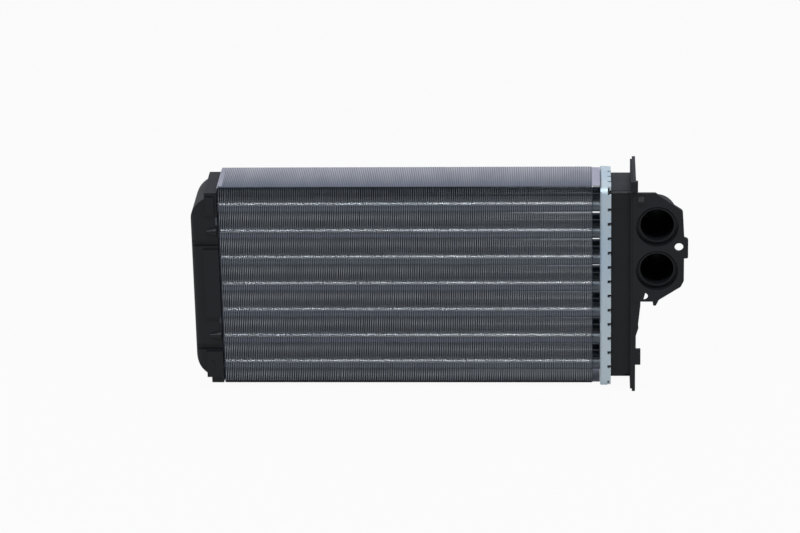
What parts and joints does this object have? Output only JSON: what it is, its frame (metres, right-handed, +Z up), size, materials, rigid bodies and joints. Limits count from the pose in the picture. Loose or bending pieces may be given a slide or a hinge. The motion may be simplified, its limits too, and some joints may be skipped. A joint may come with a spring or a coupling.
{
  "type": "heater core",
  "caption": "Upright heater core: round tubes through a pack of thin fins, a plain moulded tank at one end and a crimped tank with two side-by-side ports and a screw hole at the other.",
  "frame": {"origin": "middle of the part's box, at the level it stands on", "axes": "+X along the tubes towards the port tank, -Y the front that the ports open to, +Z up"},
  "size_m": [0.3664, 0.0556, 0.1676],
  "materials": {
    "fin_metal": "thin bare sheet, dull bright",
    "plate_metal": "bare sheet, satin",
    "tube_metal": "drawn tube, bright",
    "header_metal": "pressed sheet, satin",
    "gasket_rubber": "matt black",
    "tank_plastic": "moulded, fine grain, low sheen"
  },
  "bodies": {
    "root": {"fin_pack": "fin_metal", "end_plate_left": "plate_metal", "end_plate_right": "plate_metal", "header_left": "header_metal", "header_right": "header_metal", "gasket_left": "gasket_rubber", "gasket_right": "gasket_rubber", "tank_left": "tank_plastic", "tank_right": "tank_plastic", "tube_1_1": "tube_metal", "tube_1_2": "tube_metal", "tube_1_3": "tube_metal", "tube_1_4": "tube_metal", "tube_1_5": "tube_metal", "tube_1_6": "tube_metal", "tube_1_7": "tube_metal", "tube_2_1": "tube_metal", "tube_2_2": "tube_metal", "tube_2_3": "tube_metal", "tube_2_4": "tube_metal", "tube_2_5": "tube_metal", "tube_2_6": "tube_metal", "tube_2_7": "tube_metal", "tube_3_1": "tube_metal", "tube_3_2": "tube_metal", "tube_3_3": "tube_metal", "tube_3_4": "tube_metal", "tube_3_5": "tube_metal", "tube_3_6": "tube_metal", "tube_3_7": "tube_metal"}
  },
  "joints": []
}
